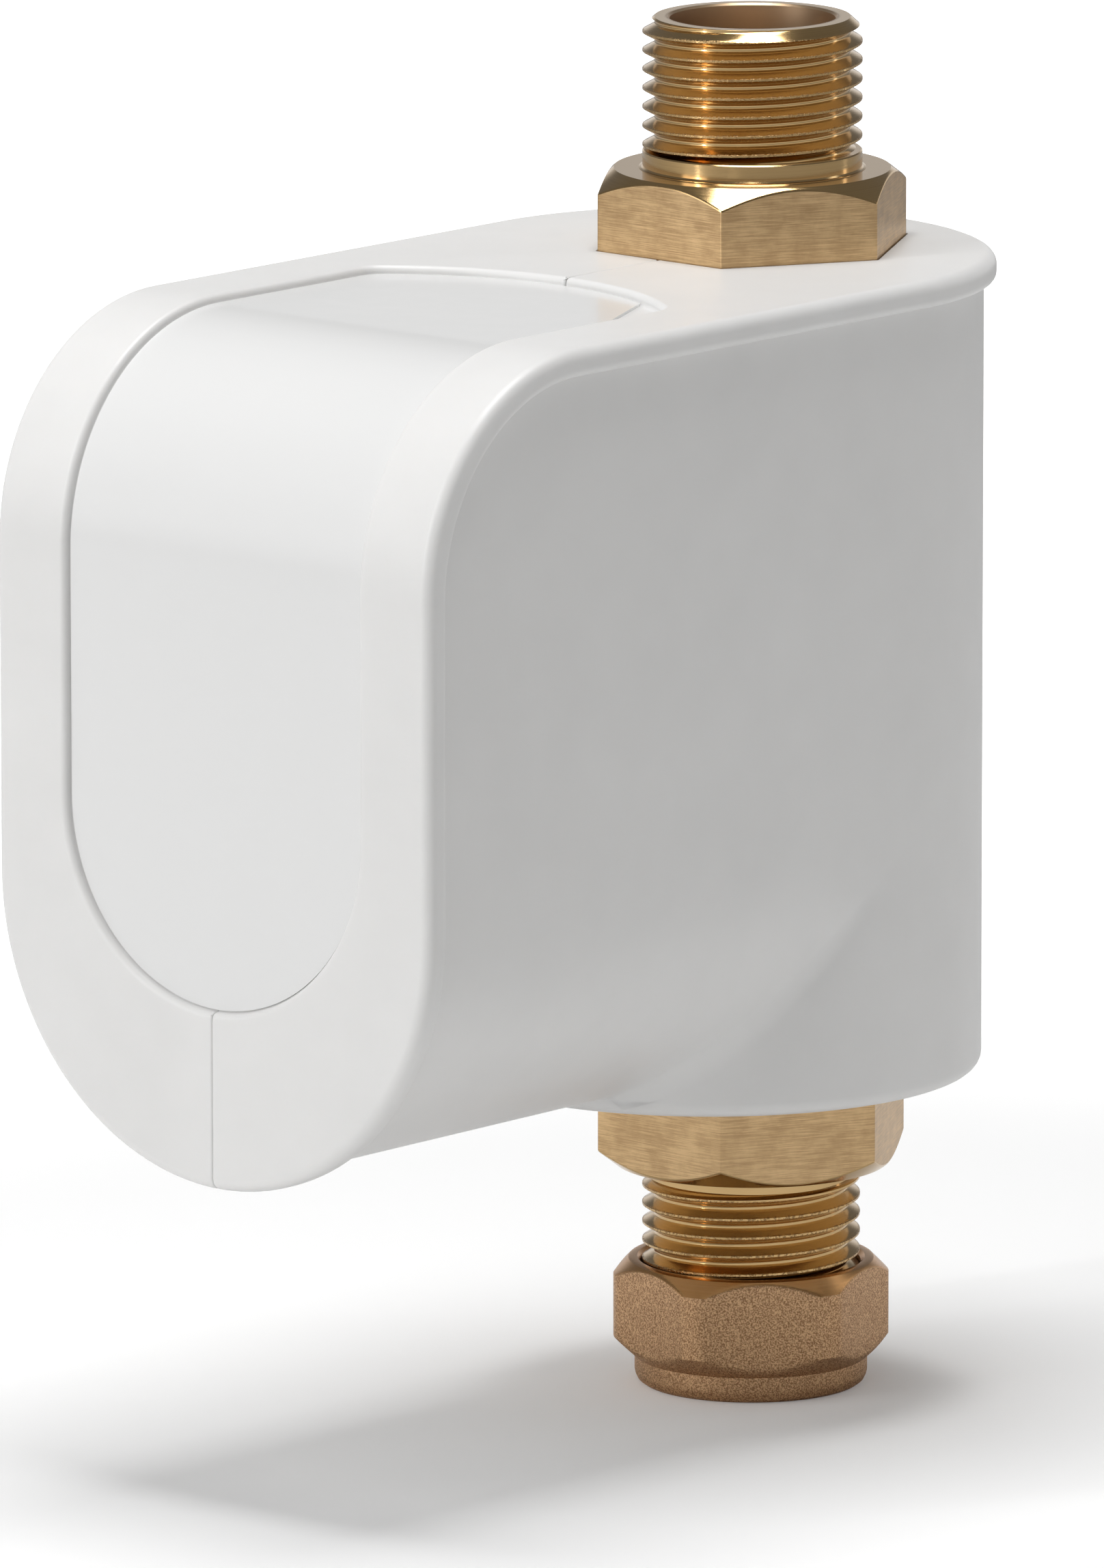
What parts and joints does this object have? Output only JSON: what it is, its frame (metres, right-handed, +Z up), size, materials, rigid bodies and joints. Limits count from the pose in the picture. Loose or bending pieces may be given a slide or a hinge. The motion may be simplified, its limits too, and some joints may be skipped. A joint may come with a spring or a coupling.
{
  "type": "shower pump",
  "caption": "Compact in-line shower pump: white clamshell casing with a label recess, brass male outlet on top and a brass compression inlet below, with its pump, motor and flow switch.",
  "frame": {"origin": "on the axis of the inlet pipe, at the stop where the 15 mm pipe ends inside the inlet fitting", "axes": "+Z up the pipe axis from the inlet to the outlet, +X to the right of the pump seen from its front, -Y towards the round front of the casing"},
  "size_m": [0.0544, 0.0979, 0.1328],
  "materials": {
    "casing_plastic": "moulded white plastic, satin",
    "label_film": "smooth glossy white film",
    "grommet_rubber": "moulded pale grey rubber",
    "fitting_brass": "turned and milled brass, fine tool marks",
    "nut_brass": "forged brass, grainy, with machined chamfers",
    "seal_rubber": "matt black rubber",
    "strainer_plastic": "moulded white acetal",
    "pump_plastic": "glass-filled black plastic",
    "can_steel": "drawn stainless steel",
    "shaft_steel": "ground stainless steel",
    "washer_ceramic": "polished white ceramic",
    "bush_carbon": "moulded carbon",
    "magnet_ferrite": "sintered ferrite, dark grey",
    "impeller_plastic": "moulded natural acetal",
    "stator_iron": "stacked electrical steel",
    "coil_copper": "enamelled copper wire",
    "insulator_plastic": "moulded cream plastic",
    "cover_aluminium": "die-cast aluminium",
    "board_green": "green solder mask",
    "component_black": "moulded black component bodies",
    "lead_sleeve": "flexible red wire sleeve",
    "screw_steel": "plain stainless steel"
  },
  "bodies": {
    "pump": {"casing_right": "casing_plastic", "casing_left": "casing_plastic", "casing_screws": "screw_steel", "label_film": "label_film", "cable_grommet": "grommet_rubber", "outlet_fitting": "fitting_brass", "inlet_fitting": "fitting_brass", "fitting_seals": "seal_rubber", "inlet_strainer": "strainer_plastic", "pump_body": "pump_plastic", "can_seal": "seal_rubber", "separation_can": "can_steel", "pump_shaft": "shaft_steel", "thrust_washers": "washer_ceramic", "stator_core": "stator_iron", "stator_coils": "coil_copper", "stator_insulators": "insulator_plastic", "motor_cover": "cover_aluminium", "motor_screws": "screw_steel", "motor_cushions": "seal_rubber", "controller_board": "board_green", "board_components": "component_black", "motor_leads": "lead_sleeve", "sensor_leads": "lead_sleeve", "flow_sensor": "board_green", "sensor_screw": "screw_steel", "piston_spring": "screw_steel", "piston_stop": "impeller_plastic"},
    "rotor": {"impeller": "impeller_plastic", "rotor_magnet": "magnet_ferrite", "rotor_bushes": "bush_carbon"},
    "piston": {"flow_piston": "strainer_plastic", "piston_magnet": "magnet_ferrite"},
    "olive_ring": {"olive": "fitting_brass"},
    "nut": {"compression_nut": "nut_brass"}
  },
  "joints": [
    {"name": "rotor_spin", "type": "hinge", "parent": "pump", "child": "rotor", "pos_m": [0, -0.035, 0.0379], "axis": [0, -1, 0], "continuous": true},
    {"name": "piston_lift", "type": "slide", "parent": "pump", "child": "piston", "axis": [0, 0, 1], "range_m": [0, 0.004], "stiffness_N_per_m": 20, "springref_m": -0.0085, "deforming": ["piston_spring"]},
    {"name": "olive_slide", "type": "slide", "parent": "pump", "child": "olive_ring", "axis": [0, 0, 1], "range_m": [-0.0037, 0]},
    {"name": "nut_turn", "type": "hinge", "parent": "olive_ring", "child": "nut", "pos_m": [0, 0, -0.0145], "axis": [0, 0, 1], "range_deg": [-720, 0]}
  ],
  "couplings": [
    {"joint": "olive_slide", "follows": "nut_turn", "m_per_rad": 0.00028871}
  ]
}
